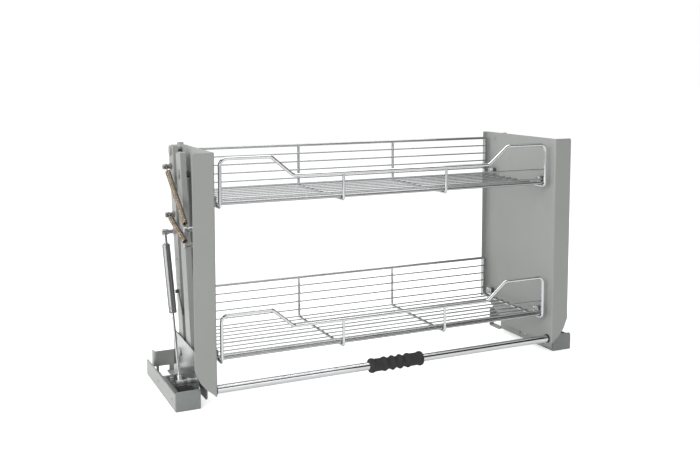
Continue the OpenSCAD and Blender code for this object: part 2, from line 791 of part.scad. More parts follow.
// Ball socket on the cylinder's end, face to face with the arm's post
module strut_socket(s) {
    half = strut_eye_r;
    ball_half = strut_eye_r * 0.8;
    color(steel) along_strut(s) {
        bar_x(-half, half * 0.6, [0, strut_span], strut_eye_r * 0.7);
        bar_x(-ball_half * 0.9, ball_half * 0.9, [0, strut_span], ball_half);
        bar_z(strut_span - strut_neck, strut_span - ball_half / 2, [0, 0], strut_rod_r * 1.4);
    }
}

// Springs are drawn along +Y from the panel's post and tilted towards the arm's post
module along_spring(s, low, high) {
    v = high - low;
    on_side(s) translate([spring_x, low[0], low[1]]) rotate([atan2(v[1], v[0]), 0, 0]) children();
}

module spring_eye() {
    rotate([0, 90, 0]) rotate_extrude() translate([eye_r, 0]) circle(spring_wire_r);
    bar_y(eye_r, spring_end, [0, 0], spring_wire_r);
}

// The wound wire: straight for one wire diameter, out to the coil and back again
rings_per_turn = 8;
wire_sides = 6;
ramp_turns = 0.5;

function coil_point(t, turns, start, run) =
    let (angle = 360 * t, ramp = min(1, t / ramp_turns, (turns - t) / ramp_turns))
    [coil_r * ramp * cos(angle), start + run * t / turns, coil_r * ramp * sin(angle)];

function coil_path(length, turns) =
    let (start = spring_end + spring_wire_d, run = length - 2 * start, n = turns * rings_per_turn)
    concat([[0, spring_end, 0]],
        [for (i = [0 : n]) coil_point(i / rings_per_turn, turns, start, run)],
        [[0, length - spring_end, 0]]);

function ring_at(path, i) =
    let (
        last = len(path) - 1,
        along = i <= 1 || i >= last - 1 ? [0, 1, 0] : unit(path[i + 1] - path[i - 1]),
        angle = 360 * (i - 1) / rings_per_turn,
        out = [cos(angle), 0, sin(angle)],
        side = unit(out - along * (out * along)),
        up = cross(along, side))
    [for (k = [0 : wire_sides - 1]) path[i]
        + spring_wire_r * (cos(360 * k / wire_sides) * side + sin(360 * k / wire_sides) * up)];

module wire_sweep(path) {
    last = len(path) - 1;
    n = wire_sides;
    rings = [for (i = [0 : last]) each ring_at(path, i)];
    sides = [for (i = [0 : last - 1], k = [0 : n - 1])
        let (a = i * n + k, b = i * n + (k + 1) % n) each [[a, a + n, b + n], [a, b + n, b]]];
    ends = [for (k = [1 : n - 2]) each [[0, k, k + 1], [last * n, last * n + k + 1, last * n + k]]];
    polyhedron(points = rings, faces = concat(sides, ends), convexity = 10);
}

function least_gap(path) = min([for (i = [0 : len(path) - 1], j = [i + rings_per_turn / 2 + 1 :
    min(i + rings_per_turn + 3, len(path) - 1)]) norm(path[i] - path[j])]) - spring_wire_d;

module spring(s, low, high, name) {
    path = coil_path(norm(high - low), spring_turns);
    echo(str(name, ": least gap of the wire to itself ", least_gap(path), " mm"));
    color(spring_steel) along_spring(s, low, high) {
        spring_eye();
        wire_sweep(path);
    }
}

module far_spring_eye(s, low, high) {
    color(spring_steel) along_spring(s, low, high)
        translate([0, norm(high - low), 0]) rotate([0, 0, 180]) spring_eye();
}

upper_spring_ends = [[panel_post_y, upper_panel_post_z], upper_arm_post];
lower_spring_ends = [[panel_post_y, lower_panel_post_z], lower_arm_post];

// Basket: one bent hoop in front, ribs below, straight rails and thin wires on them
module basket_hoop(z) {
    high = z + hoop_high - hoop_wire_r;
    low = z + hoop_low - hoop_wire_r;
    end = z + end_bend_h;
    color(chrome) on_side(1)
        translate([0, basket_front_y, 0]) rotate([90, 0, 0]) flat_wire([
            [-hoop_x, end], [-hoop_x, high], [-hoop_high_half, high], [-hoop_low_half, low],
            [hoop_low_half, low], [hoop_high_half, high], [hoop_x, high], [hoop_x, end]],
            [hoop_r, hoop_r, hoop_r, hoop_r, hoop_r, hoop_r], hoop_wire_r);
}

module basket_ribs(z) {
    floor_z = z + rib_r;
    rail_z = z + back_h - rib_r;
    low = z + hoop_low - hoop_wire_r;
    color(chrome) on_side(1) {
        difference() {
            for (x = [-rib_half, rib_half]) translate([x, 0, 0]) rotate([90, 0, 90]) flat_wire([
                [basket_front_y, low], [basket_front_y, floor_z], [basket_back_y, floor_z],
                [basket_back_y, rail_z]], [rib_bend_r, rib_bend_r], rib_r);
            bar_x(-basket_half, basket_half, [basket_front_y, low], hoop_wire_r);
            bar_x(-basket_half, basket_half, [basket_back_y, rail_z], rib_r);
        }
        difference() {
            union() {
                for (x = [-end_rib_x, end_rib_x]) translate([x, 0, 0]) rotate([90, 0, 90]) flat_wire([
                    [basket_front_y, z + end_bend_h], [basket_front_y, floor_z],
                    [basket_back_y, floor_z], [basket_back_y, rail_z]],
                    [rib_bend_r, rib_bend_r], rib_r);
                for (s = [-1, 1], y = basket_screw_places)
                    translate([s > 0 ? basket_half - lug_t : -basket_half, y - lug_w / 2, floor_z])
                        cube([lug_t, lug_w, lug_h - rib_r]);
            }
            bar_x(-basket_half - over, basket_half + over, [basket_back_y, rail_z], rib_r);
            for (y = basket_screw_places)
                bar_x(-basket_half - over, basket_half + over, [y, z + screw_rise], screw_r + touch_gap);
        }
    }
}

module basket_rails(z) {
    rail_z = z + rib_bend_r + rib_r;
    half = end_rib_x + rib_r * 0.1;
    color(chrome) on_side(1) {
        bar_x(-half, half, [basket_front_y + rib_bend_r, rail_z], rib_r - touch_gap);
        bar_x(-half, half, [basket_front_y + 3 * rib_bend_r, z + 2 * rib_d - rib_r + touch_gap], rib_r);
        bar_x(-basket_half, basket_half, [basket_back_y, z + back_h - rib_r], rib_r);
    }
}

module basket_wires(z) {
    half = end_rib_x + rib_r * 0.1;
    floor_z = z + rib_d + wire_r + touch_gap;
    first = basket_front_y + 5 * rib_bend_r;
    last = basket_back_y - 2 * rib_bend_r;
    front_y = basket_front_y + hoop_wire_r + wire_r + touch_gap;
    back_y = basket_back_y - rib_r - wire_r - touch_gap;
    color(chrome) on_side(1) {
        for (i = [0 : floor_wires - 1])
            bar_x(-half, half, [first + (last - first) * i / (floor_wires - 1), floor_z], wire_r);
        for (i = [1 : back_wires])
            bar_x(-half, half, [back_y, z + rib_r + (back_h - rib_d) * i / (back_wires + 1)], wire_r);
        for (share = front_wire_shares)
            bar_x(-basket_half + rib_r, basket_half - rib_r, [front_y, z + share * hoop_low], wire_r);
    }
}

front_wire_shares = [0.3, 0.66];

// Fastening of the baskets to the side panels
module basket_spacers() {
    color(nylon) on_both_sides() for (z = [upper_basket_z, lower_basket_z], y = basket_screw_places)
        tube_x(basket_half, web_in, [y, z + screw_rise], spacer_r, screw_r + touch_gap);
}

module basket_screws() {
    color(steel) on_both_sides() for (z = [upper_basket_z, lower_basket_z], y = basket_screw_places) {
        at = [y, z + screw_rise];
        bar_x(basket_half - lug_t - screw_head_t, basket_half - lug_t, at, screw_head_r);
        bar_x(basket_half - lug_t, web_out, at, screw_r);
        bar_x(web_out, web_out + screw_head_t, at, screw_head_r);
    }
}

// Handle: a tube between the panels with a ringed grip in the middle
module handle_bar() {
    end = web_out + collar_t;
    color(chrome) on_side(1) tube_x(-end, end, [handle_y, handle_z], handle_r, handle_r - handle_wall);
}

module handle_collars() {
    color(rubber) on_both_sides()
        tube_x(web_in - collar_t, web_in, [handle_y, handle_z], collar_r, handle_r + touch_gap);
}

grip_steps = 96;
grip_crest_share = 0.6;

// Radius of the grip at a distance z from its middle: rings round the middle, a bead at each end
function grip_radius(z) =
    let (
        core = grip_core_d / 2,
        from_ring = abs(z / grip_ring_pitch + grip_rings / 2 - floor(z / grip_ring_pitch + grip_rings / 2)
            - 0.5),
        ring = abs(z) < grip_rings * grip_ring_pitch / 2 ? pow(cos(180 * from_ring), 3) : 0,
        in_flare = (abs(z) - grip_len / 2) / grip_flare_len + 1,
        bead = in_flare <= 0 ? 0
            : in_flare < grip_crest_share ? pow(sin(90 * in_flare / grip_crest_share), 2)
            : sqrt(1 - 0.7 * pow((in_flare - grip_crest_share) / (1 - grip_crest_share), 2)))
    core + ring * (grip_ring_d / 2 - core) + bead * (grip_end_d / 2 - core);

module handle_grip() {
    half = grip_len / 2;
    bore = handle_r + touch_gap;
    color(rubber) on_side(1) translate([0, handle_y, handle_z]) rotate([0, 90, 0]) rotate_extrude()
        polygon(concat([[bore, half], [bore, -half]],
            [for (i = [0 : grip_steps]) let (z = (2 * i / grip_steps - 1) * half) [grip_radius(z), z]]));
}

base_bracket(-1);  // left_base_bracket
base_bracket(1);  // right_base_bracket
bracket_caps();
pivot_plate(-1);  // left_pivot_plate
pivot_plate(1);  // right_pivot_plate
inner_plate(-1);  // left_inner_plate
inner_plate(1);  // right_inner_plate
base_pins(-1);  // left_base_pins
base_pins(1);  // right_base_pins
strut_foot_posts();
plate_screws();
rest_stops();
front_arm(-1);  // left_front_arm
rear_arm(-1);  // left_rear_arm
front_arm(1);  // right_front_arm
rear_arm(1);  // right_rear_arm
arm_bushes(-1, [front_pivot_y, front_pivot_z]);  // left_front_bushes
arm_bushes(-1, [rear_pivot_y, rear_pivot_z]);  // left_rear_bushes
arm_bushes(1, [front_pivot_y, front_pivot_z]);  // right_front_bushes
arm_bushes(1, [rear_pivot_y, rear_pivot_z]);  // right_rear_bushes
arm_spring_posts(-1);  // left_spring_posts
arm_spring_posts(1);  // right_spring_posts
arm_strut_post(-1);  // left_strut_post
arm_strut_post(1);  // right_strut_post
stop_lever(-1);  // left_stop_lever
stop_lever(1);  // right_stop_lever
side_panel(-1);  // left_side_panel
side_panel(1);  // right_side_panel
top_pins();
top_collars();
panel_spring_posts();
handle_bar();
handle_grip();
handle_collars();
basket_hoop(upper_basket_z);  // upper_basket_hoop
basket_ribs(upper_basket_z);  // upper_basket_ribs
basket_rails(upper_basket_z);  // upper_basket_rails
basket_wires(upper_basket_z);  // upper_basket_wires
basket_hoop(lower_basket_z);  // lower_basket_hoop
basket_ribs(lower_basket_z);  // lower_basket_ribs
basket_rails(lower_basket_z);  // lower_basket_rails
basket_wires(lower_basket_z);  // lower_basket_wires
basket_spacers();
basket_screws();
spring(-1, upper_spring_ends[0], upper_spring_ends[1], "left upper spring");  // left_upper_spring
far_spring_eye(-1, upper_spring_ends[0], upper_spring_ends[1]);  // left_upper_spring_eye
spring(-1, lower_spring_ends[0], lower_spring_ends[1], "left lower spring");  // left_lower_spring
far_spring_eye(-1, lower_spring_ends[0], lower_spring_ends[1]);  // left_lower_spring_eye
spring(1, upper_spring_ends[0], upper_spring_ends[1], "right upper spring");  // right_upper_spring
far_spring_eye(1, upper_spring_ends[0], upper_spring_ends[1]);  // right_upper_spring_eye
spring(1, lower_spring_ends[0], lower_spring_ends[1], "right lower spring");  // right_lower_spring
far_spring_eye(1, lower_spring_ends[0], lower_spring_ends[1]);  // right_lower_spring_eye
strut_cylinder(-1);  // left_strut_cylinder
strut_socket(-1);  // left_strut_socket
strut_rod(-1);  // left_strut_rod
strut_foot_eye(-1);  // left_strut_foot_eye
strut_cylinder(1);  // right_strut_cylinder
strut_socket(1);  // right_strut_socket
strut_rod(1);  // right_strut_rod
strut_foot_eye(1);  // right_strut_foot_eye
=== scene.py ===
"""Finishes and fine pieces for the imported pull-down cabinet shelf, laid out as a Blender add-on."""

import json
import math

import bmesh
import bpy
from mathutils import Matrix, Vector

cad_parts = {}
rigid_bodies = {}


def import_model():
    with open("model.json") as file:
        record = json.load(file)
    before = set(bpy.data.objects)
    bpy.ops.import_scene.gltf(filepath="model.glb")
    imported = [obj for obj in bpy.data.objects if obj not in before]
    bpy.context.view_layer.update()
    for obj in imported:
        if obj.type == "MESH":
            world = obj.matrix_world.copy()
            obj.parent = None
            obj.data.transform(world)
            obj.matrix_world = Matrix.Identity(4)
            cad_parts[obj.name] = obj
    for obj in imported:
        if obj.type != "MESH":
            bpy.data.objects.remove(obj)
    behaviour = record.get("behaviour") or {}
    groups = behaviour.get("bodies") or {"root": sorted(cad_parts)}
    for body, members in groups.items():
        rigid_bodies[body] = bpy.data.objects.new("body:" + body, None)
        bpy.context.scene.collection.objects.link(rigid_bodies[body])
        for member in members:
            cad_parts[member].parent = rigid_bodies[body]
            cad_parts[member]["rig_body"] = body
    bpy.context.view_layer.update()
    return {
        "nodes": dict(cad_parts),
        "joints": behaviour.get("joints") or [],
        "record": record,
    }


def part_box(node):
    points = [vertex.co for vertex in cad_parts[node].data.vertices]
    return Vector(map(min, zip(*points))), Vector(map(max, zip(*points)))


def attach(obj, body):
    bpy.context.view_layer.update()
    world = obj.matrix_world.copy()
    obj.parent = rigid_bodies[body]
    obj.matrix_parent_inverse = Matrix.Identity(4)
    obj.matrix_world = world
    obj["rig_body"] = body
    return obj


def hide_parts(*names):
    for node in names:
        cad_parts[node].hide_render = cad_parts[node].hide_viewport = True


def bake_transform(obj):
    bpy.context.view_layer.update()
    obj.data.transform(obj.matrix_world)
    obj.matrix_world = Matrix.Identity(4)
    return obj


bl_info = {
    "name": "Pull-down cabinet shelf",
    "version": (1, 0, 0),
    "blender": (4, 5, 0),
    "location": "3D View > Sidebar > Shelf",
    "description": "Dresses the packed pull-down shelf: coat, chrome, springs, grip and studio",
    "category": "Object",
}

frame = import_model()
NODES = frame["nodes"]
JOINTS = {joint["name"]: joint for joint in frame["joints"]}
SLOT_COLOURS = {m["slot"]: tuple(m["base_color"][:3]) for m in frame["record"]["materials"]}
SLOT_OF = {part["node"]: part["material_slot"] for part in frame["record"]["subparts"]}
SIDES = ("left", "right")
SPRING_LEVELS = ("upper", "lower")

MM = 0.001
# The panels' pins and posts are coated like the panels on the faces nearer to the middle than this.
PANEL_MIDDLE = 358 * MM
# Loose triangles of a CAD mesh are merged within this, and the rings of a turned piece.
CAD_WELD = 0.01 * MM
TURNED_WELD = 0.001 * MM
# Faces of one flat part of a CAD mesh turn less than this, and edges that get a rounding turn more.
FLAT = math.radians(0.6)
RIM = math.radians(50)
# Edges that turn less are shaded smooth, on pieces with crisp edges and on soft ones.
CRISP = math.radians(35)
SOFT = math.radians(60)
# The corners of one screw lie within this of each other across its axis.
SCREW_REACH = 11 * MM
HEAD_TO_SHANK = 1.9
# The straight wire between an eye of a spring and its first turn.
SPRING_SHANK = 14 * MM


# Settings


def colour(slot, name, about, default=None):
    """A colour setting, which starts as the record's colour of its material slot."""
    return bpy.props.FloatVectorProperty(
        name=name,
        description=about,
        subtype="COLOR",
        size=3,
        min=0,
        max=1,
        default=default or SLOT_COLOURS[slot],
    )


def length(default_mm, name, about):
    return bpy.props.FloatProperty(
        name=name, description=about, default=default_mm * MM, min=0, unit="LENGTH", precision=5
    )


def share(default, name, about):
    return bpy.props.FloatProperty(name=name, description=about, default=default, min=0, max=1)


class ShelfFinishSettings(bpy.types.PropertyGroup):
    """Colours of the shelf's finishes."""

    coat: colour("grey_coat", "Powder coat", "Colour of the coated sheet metal")
    cap: colour("grey_cap", "Caps", "Colour of the brackets' moulded front caps")
    zinc: colour("zinc_plate", "Zinc", "Colour of the bright plated pivot plates")
    steel: colour("steel", "Steel", "Colour of the pins, posts and screws")
    chrome: colour("chrome_wire", "Chrome", "Colour of the hoops, ribs and handle tube")
    # The thin wires' chrome is darkened by this share, painted shade for the darker reflections they
    # show.
    thin_wire_shade: share(0.65, "Thin wires", "Brightness of the thin wires' plating beside the hoops'")
    dark: colour("dark_metal", "Dark metal", "Colour of the blackened metal")
    strut: colour(
        "strut_paint", "Strut paint", "Colour of the gas struts' cylinders", (0.2, 0.205, 0.205)
    )
    rod: colour("strut_rod", "Strut rod", "Colour of the gas struts' rods")
    spring: colour(
        "spring_steel", "Spring steel", "Colour of the coil springs", (0.32, 0.265, 0.205)
    )
    nylon: colour("nylon", "Nylon", "Colour of the basket spacers")
    bush: colour("grey_nylon", "Bushes", "Colour of the pivot bushes")
    rubber: colour("rubber", "Rubber", "Colour of the grip, grommets and buffers")


class ShelfPieceSettings(bpy.types.PropertyGroup):
    """Sizes of the fine pieces."""

    sheet_edge: length(0.45, "Sheet edge", "Rounding of the sheet metal's cut edges")
    cap_edge: length(1.3, "Cap edge", "Rounding of the brackets' moulded caps")
    pin_edge: length(0.35, "Pin edge", "Rounding of the pins' and posts' rims")
    socket: length(1.9, "Screw socket", "Radius of the recess in a screw's head")
    shoulder: length(3.2, "Strut shoulder", "Rounding of the gas strut's closed end")
    rolled_end: length(1.8, "Strut rim", "Rounding of the gas strut's rod end")
    grip_half: length(56.6, "Grip half", "Half length of the grip")
    grip_core: length(12.2, "Grip body", "Radius of the grip's plain ends")
    grip_crest: length(14.0, "Grip crests", "Radius of the grip's rings and end beads")
    grip_valley: length(10.8, "Grip valleys", "Radius between the grip's rings")
    grip_pitch: length(16.4, "Grip pitch", "Distance from ring to ring of the grip")
    spring_wire: length(2.0, "Spring wire", "Diameter of the springs' wire")
    spring_coil: length(10.4, "Spring diameter", "Outer diameter of the springs")
    spring_pitch: length(2.25, "Spring pitch", "Distance from turn to turn of a resting spring")


class ShelfStageSettings(bpy.types.PropertyGroup):
    """Camera and light."""

    lens: bpy.props.FloatProperty(
        name="Lens", description="Focal length in mm", default=46.57, min=1
    )
    camera_turn: bpy.props.FloatProperty(
        name="Turn",
        description="Camera's turn about Z",
        default=math.radians(-25.2),
        subtype="ANGLE",
    )
    camera_tilt: bpy.props.FloatProperty(
        name="Tilt",
        description="Camera's tilt below the horizon",
        default=math.radians(5.35),
        subtype="ANGLE",
    )
    camera_place: bpy.props.FloatVectorProperty(
        name="Place",
        description="Camera's place",
        default=(-0.7988, -1.6078, 0.5927),
        subtype="TRANSLATION",
    )
    camera_shift: bpy.props.FloatProperty(
        name="Shift", description="Camera's vertical shift", default=-0.1143
    )
    floor_glow: share(0.62, "Floor glow", "Light that the floor adds where the camera sees it")
    floor_mirrored: share(0.2, "Floor in mirrors", "Light that the floor adds in reflections")
    world_light: share(0.46, "World light", "Strength of the surrounding light on the shelf")


# Materials


class Value:
    """A socket of a shader tree, so that shader maths can be written as Python expressions."""

    def __init__(self, finish, socket):
        self.finish = finish
        self.socket = socket

    def maths(self, operation, first, second):
        return self.finish.node("ShaderNodeMath", {"operation": operation}, {0: first, 1: second})

    def __add__(self, other):
        return self.maths("ADD", self, other)

    def __radd__(self, other):
        return self.maths("ADD", other, self)

    def __sub__(self, other):
        return self.maths("SUBTRACT", self, other)

    def __rsub__(self, other):
        return self.maths("SUBTRACT", other, self)

    def __mul__(self, other):
        return self.maths("MULTIPLY", self, other)

    def __rmul__(self, other):
        return self.maths("MULTIPLY", other, self)


class Finish:
    """A material with one Principled shader, with what is the same all over set on its sockets."""

    def __init__(self, name, fixed):
        self.material = bpy.data.materials.new(name)
        self.material.use_nodes = True
        self.tree = self.material.node_tree
        self.shader = self.tree.nodes["Principled BSDF"]
        for socket, value in fixed.items():
            self.shader.inputs[socket].default_value = value

    def node(self, kind, settings=None, values=None, output=0):
        added = self.tree.nodes.new(kind)
        for key, value in (settings or {}).items():
            setattr(added, key, value)
        for key, value in (values or {}).items():
            if isinstance(value, Value):
                self.tree.links.new(value.socket, added.inputs[key])
            else:
                added.inputs[key].default_value = value
        return Value(self, added.outputs[output])

    def place(self, stretch=(1, 1, 1)):
        """The point of the surface in metres, stretched where a pattern runs one way."""
        point = self.node("ShaderNodeTexCoord", output="Object")
        if stretch == (1, 1, 1):
            return point
        return self.node("ShaderNodeMapping", values={"Vector": point, "Scale": stretch})

    def noise(self, per_metre, detail=2, stretch=(1, 1, 1)):
        values = {"Vector": self.place(stretch), "Scale": per_metre, "Detail": detail}
        return self.node("ShaderNodeTexNoise", values=values)

    def grains(self, per_metre):
        values = {"Vector": self.place(), "Scale": per_metre}
        return self.node("ShaderNodeTexVoronoi", values=values)

    def clamp(self, value, low, high):
        """0 below low, 1 above high and smooth in between."""
        values = {"Value": value, "From Min": low, "From Max": high}
        return self.node("ShaderNodeMapRange", {"interpolation_type": "SMOOTHSTEP"}, values)

    def feed(self, socket, value):
        self.tree.links.new(value.socket, self.shader.inputs[socket])

    def paint(self, mask, low, high):
        """Base colour between two colours, by a mask."""
        values = {0: mask, 6: (*low, 1), 7: (*high, 1)}
        self.feed("Base Color", self.node("ShaderNodeMix", {"data_type": "RGBA"}, values, output=2))

    def bump(self, height, depth, strength):
        values = {"Height": height, "Distance": depth, "Strength": strength}
        self.feed("Normal", self.node("ShaderNodeBump", values=values))


def shade(rgb, factor):
    return tuple(min(1.0, channel * factor) for channel in rgb)


def powder_coat(name, rgb, patches=9, spread=0.055):
    """Baked grey powder: a soft orange peel, fine flecks and slightly rubbed patches."""
    finish = Finish(name, {"Specular IOR Level": 0.5})
    cloud = finish.noise(per_metre=patches, detail=3)
    fleck = finish.clamp(finish.noise(per_metre=1500, detail=1), low=0.55, high=0.8)
    finish.paint(cloud * 0.7 + fleck * 0.3, shade(rgb, 1 - spread), shade(rgb, 1 + spread))
    finish.feed("Roughness", 0.31 + 0.14 * finish.noise(per_metre=40, detail=3))
    peel = finish.noise(per_metre=700) + 0.25 * finish.noise(per_metre=2200, detail=1)
    finish.bump(peel, depth=0.06 * MM, strength=0.5)
    return finish.material


def bright_zinc(name, rgb):
    """Bright zinc: a clear metal with faint rolling marks and cloudy patches."""
    finish = Finish(name, {"Metallic": 1})
    rolling = finish.noise(per_metre=60, detail=3, stretch=(1, 1, 18))
    cloud = finish.noise(per_metre=14, detail=3)
    finish.paint(cloud, shade(rgb, 0.52), shade(rgb, 0.72))
    finish.feed("Roughness", 0.11 + 0.08 * rolling + 0.06 * cloud)
    grit = finish.noise(per_metre=900, detail=1)
    finish.bump(rolling + 0.5 * grit, depth=0.03 * MM, strength=0.4)
    return finish.material


def turned_steel(name, rgb):
    """Turned or headed steel: fine rings of tool marks and random darker patches."""
    finish = Finish(name, {"Metallic": 1})
    marks = finish.noise(per_metre=500, stretch=(6, 1, 1))
    cloud = finish.noise(per_metre=70, detail=3)
    finish.paint(cloud, shade(rgb, 0.72), shade(rgb, 1.15))
    finish.feed("Roughness", 0.32 + 0.14 * marks)
    finish.bump(marks, depth=0.04 * MM, strength=0.4)
    return finish.material


def polished_chrome(name, rgb, rough=0.07):
    """Chrome plate: nearly a mirror, with a haze in patches and hairline scratches."""
    finish = Finish(name, {"Metallic": 1})
    haze = finish.noise(per_metre=35, detail=3)
    scratches = finish.noise(per_metre=700, detail=1, stretch=(0.04, 1, 1))
    hair = finish.clamp(scratches, low=0.6, high=0.75)
    finish.paint(haze, shade(rgb, 0.72), shade(rgb, 0.84))
    finish.feed("Roughness", rough + 0.05 * haze + 0.06 * hair)
    ripple = finish.noise(per_metre=260, detail=1)
    finish.bump(hair + 0.4 * ripple, depth=0.012 * MM, strength=0.35)
    return finish.material


def blackened_metal(name, rgb):
    """Black oxide: dark with a dull sheen, worn lighter in spots."""
    finish = Finish(name, {"Metallic": 0.7})
    worn = finish.clamp(finish.noise(per_metre=240, detail=4), low=0.56, high=0.72)
    finish.paint(worn, rgb, shade(rgb, 2.2))
    finish.feed("Roughness", 0.38 + 0.18 * finish.noise(per_metre=120))
    finish.bump(finish.noise(per_metre=900), depth=0.04 * MM, strength=0.4)
    return finish.material


def strut_lacquer(name, rgb):
    """Grey lacquer on a drawn tube: fine lengthwise lines under a clear coat."""
    finish = Finish(name, {"Metallic": 0.5, "Coat Weight": 0.6, "Coat Roughness": 0.06})
    lines = finish.noise(per_metre=380, stretch=(1, 1, 0.05))
    finish.paint(lines, shade(rgb, 0.92), shade(rgb, 1.08))
    finish.feed("Roughness", 0.17 + 0.08 * finish.noise(per_metre=60))
    finish.bump(lines, depth=0.02 * MM, strength=0.3)
    return finish.material


def oiled_spring(name, rgb):
    """Oil-hardened wire: warm brown steel, paler where the turns have rubbed."""
    finish = Finish(name, {"Metallic": 1})
    rubbed = finish.clamp(finish.noise(per_metre=420, detail=3), low=0.45, high=0.7)
    finish.paint(rubbed, shade(rgb, 0.75), shade(rgb, 1.35))
    finish.feed("Roughness", 0.2 + 0.12 * finish.noise(per_metre=200))
    finish.bump(finish.noise(per_metre=1500, detail=1), depth=0.03 * MM, strength=0.3)
    return finish.material


def moulded_plastic(name, rgb):
    """Moulded plastic with a fine spark texture."""
    finish = Finish(name, {"Specular IOR Level": 0.45})
    cloud = finish.noise(per_metre=90)
    finish.paint(cloud, shade(rgb, 0.92), shade(rgb, 1.1))
    finish.feed("Roughness", 0.42 + 0.12 * cloud)
    finish.bump(finish.noise(per_metre=1600), depth=0.05 * MM, strength=0.5)
    return finish.material


def foam_rubber(name, rgb):
    """Black foam rubber: a pebbled skin with pores, with painted highlight on its crests and painted
    shade between the pebbles.
    """
    finish = Finish(name, {"Specular IOR Level": 0.4})
    pebbles = finish.grains(per_metre=620)
    pores = finish.clamp(finish.noise(per_metre=900, detail=3), low=0.35, high=0.55)
    # Painted highlight and shade: the pebbles' crests are paler and the pits between them darker,
    # following the bump.
    finish.paint(pebbles * 0.8 + pores * 0.2, shade(rgb, 1.5), shade(rgb, 0.5))
    finish.feed("Roughness", 0.55 + 0.2 * finish.noise(per_metre=150))
    finish.bump((1 - pebbles) * 0.6 + pores * 0.4, depth=0.35 * MM, strength=0.8)
    return finish.material


def give(names, material):
    """Puts one finish on CAD nodes, in all of their material slots."""
    for name in names:
        mesh = NODES[name].data
        mesh.materials.clear()
        mesh.materials.append(material)


def nodes_of(slot, without=()):
    return [node for node, its_slot in SLOT_OF.items() if its_slot == slot and node not in without]


# Modelling helpers


def deselect():
    bpy.ops.object.select_all(action="DESELECT")


def pick_only(piece):
    """Selects one piece and makes it the active one."""
    deselect()
    piece.select_set(True)
    bpy.context.view_layer.objects.active = piece


def made(name, material):
    """Names the object that an operator has just added and gives it its finish."""
    piece = bpy.context.object
    piece.name = piece.data.name = name
    piece.data.materials.clear()
    piece.data.materials.append(material)
    return piece


def stand(piece, foot, along):
    """Stands a piece made on Z on a point, along a direction, with its place in its mesh."""
    turn = along.to_track_quat("Z", "X").to_matrix().to_4x4()
    piece.matrix_world = Matrix.Translation(foot) @ turn
    pick_only(piece)
    bpy.ops.object.transform_apply(location=True, rotation=True, scale=True)


def rounded_copy(node, edge, *materials, inner_x=0.0):
    """A merged copy of a CAD node with its rims rounded, which stands for the node.

    It takes one or two finishes. Faces nearer to the middle than inner_x take the second one."""
    source = NODES[node]
    copy = bpy.data.objects.new(f"{node}_rounded", source.data.copy())
    copy.data.name = copy.name
    bpy.context.scene.collection.objects.link(copy)
    pick_only(copy)
    bpy.ops.object.mode_set(mode="EDIT")
    bpy.ops.mesh.select_all(action="SELECT")
    bpy.ops.mesh.remove_doubles(threshold=CAD_WELD)
    bpy.ops.mesh.dissolve_limited(angle_limit=FLAT)
    bpy.ops.object.mode_set(mode="OBJECT")
    bevel = copy.modifiers.new("rims", "BEVEL")
    bevel.width, bevel.segments = edge, 2
    bevel.limit_method, bevel.angle_limit = "ANGLE", RIM
    bevel.miter_outer = "MITER_ARC"
    bpy.ops.object.modifier_apply(modifier=bevel.name)
    bpy.ops.object.shade_smooth_by_angle(angle=CRISP)
    weighted = copy.modifiers.new("flats", "WEIGHTED_NORMAL")
    weighted.keep_sharp = True
    bpy.ops.object.modifier_apply(modifier=weighted.name)
    copy.data.materials.clear()
    for material in materials:
        copy.data.materials.append(material)
    for face in copy.data.polygons:
        face.material_index = int(abs(face.center.x) < inner_x)
    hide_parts(node)
    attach(copy, source["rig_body"])


def turned(name, material, outline, steps=48):
    """A turned piece: its half outline of radii and heights is drawn and spun about Z."""
    deselect()
    bpy.ops.mesh.primitive_plane_add(size=MM)
    bpy.ops.object.mode_set(mode="EDIT")
    bpy.ops.mesh.merge(type="CENTER")
    here = Vector((0, 0, 0))
    for radius, height in outline:
        there = Vector((radius, 0, height))
        if (radius, height) == outline[0]:
            bpy.ops.transform.translate(value=there - here)
        else:
            bpy.ops.mesh.extrude_region_move(TRANSFORM_OT_translate={"value": there - here})
        here = there
    bpy.ops.mesh.select_all(action="SELECT")
    bpy.ops.mesh.spin(steps=steps, angle=math.tau, center=(0, 0, 0), axis=(0, 0, 1))
    bpy.ops.mesh.select_all(action="SELECT")
    bpy.ops.mesh.remove_doubles(threshold=TURNED_WELD)
    bpy.ops.mesh.normals_make_consistent(inside=False)
    bpy.ops.object.mode_set(mode="OBJECT")
    return made(name, material)


def arc(centre, radius, first, last, steps=6):
    """Points of an arc in an outline, from one angle to another in degrees."""
    angles = [math.radians(first + (last - first) * i / steps) for i in range(steps + 1)]
    return [(centre[0] + radius * math.cos(a), centre[1] + radius * math.sin(a)) for a in angles]


# Pieces


class SHELF_OT_coat_sheet_metal(bpy.types.Operator):
    """Coats the side panels, arms, inner plates and base brackets in grey powder."""

    bl_idname = "shelf.coat_sheet_metal"
    bl_label = "Coat sheet metal"

    def execute(self, context):
        finishes, edge = context.scene.shelf_finishes, context.scene.shelf_pieces.sheet_edge
        coat = powder_coat("grey_coat", finishes.coat)
        bracket_coat = powder_coat("bracket_coat", finishes.coat, patches=75, spread=0.16)
        for node in nodes_of("grey_coat"):
            rounded_copy(node, edge, bracket_coat if "bracket" in node else coat)
        return {"FINISHED"}


